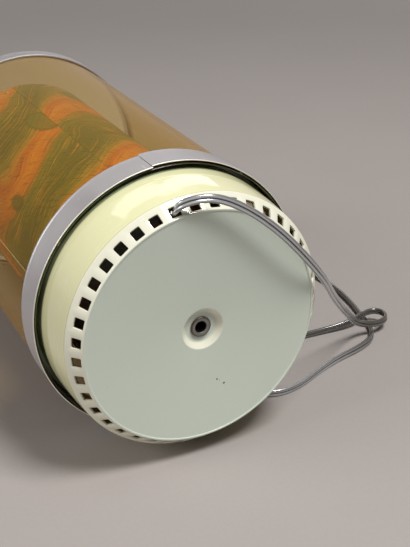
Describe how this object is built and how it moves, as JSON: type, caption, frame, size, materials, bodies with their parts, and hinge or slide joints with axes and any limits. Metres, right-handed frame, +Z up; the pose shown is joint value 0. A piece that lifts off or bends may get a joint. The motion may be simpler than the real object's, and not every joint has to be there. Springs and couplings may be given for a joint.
{
  "type": "rotating motion lamp",
  "caption": "Motion lamp lying on its side: a printed drum turns on a needle over the bulb, inside an amber film shade on a vented moulded base.",
  "frame": {"origin": "on the table under the middle of the lamp, which lies on the two bands of its shade", "axes": "+Z up from the table, +Y along the spindle from the underside to the open end, +X to the right seen from the underside"},
  "size_m": [0.2586, 0.2884, 0.1574],
  "materials": {
    "pan_moulding": "aged cream thermoplastic, glossy, yellowed by warmth",
    "steel": "dull plated steel",
    "brass": "rolled brass, slightly dull",
    "holder_moulding": "dark brown moulded resin",
    "clear_glass": "clear blown glass",
    "black_glass": "black glass insulator",
    "filament_wire": "drawn wire",
    "aluminium": "thin aluminium sheet, satin",
    "printed_film": "printed translucent film in orange, olive and amber",
    "amber_film": "clear film, aged to amber",
    "clear_cord": "twin parallel cord, clear jacket over tinned strands",
    "plug_moulding": "cream moulded plug"
  },
  "bodies": {
    "base": {"base_pan": "pan_moulding", "centre_stud": "steel", "lock_washer": "steel", "stud_lock_nut": "brass", "lamp_holder": "holder_moulding", "terminal_screws": "brass", "holder_shell": "brass", "holder_contact": "brass", "bulb_glass": "clear_glass", "bulb_cap": "aluminium", "bulb_insulator": "black_glass", "bulb_tip": "brass", "bulb_stem": "clear_glass", "bulb_supports": "filament_wire", "bulb_filament": "filament_wire", "bail": "steel", "needle_holder": "brass", "needle": "steel", "cord_front": "clear_cord", "cord_coil": "clear_cord", "cord_tail": "clear_cord", "cord_inside": "clear_cord", "plug_body": "plug_moulding", "plug_blades": "brass"},
    "drum": {"drum_sheet": "printed_film", "drum_fan": "aluminium", "drum_cup": "brass", "drum_hoop": "aluminium", "drum_rivets": "aluminium"},
    "shade": {"shade_film": "amber_film", "bottom_band": "aluminium", "seat_hoop": "aluminium", "top_band": "aluminium"}
  },
  "joints": [
    {"name": "drum_spin", "type": "hinge", "parent": "base", "child": "drum", "pos_m": [0, 0, 0.0787], "axis": [0, 1, 0], "continuous": true},
    {"name": "shade_lift", "type": "slide", "parent": "base", "child": "shade", "axis": [0, 1, 0], "range_m": [0, 0.24]}
  ]
}
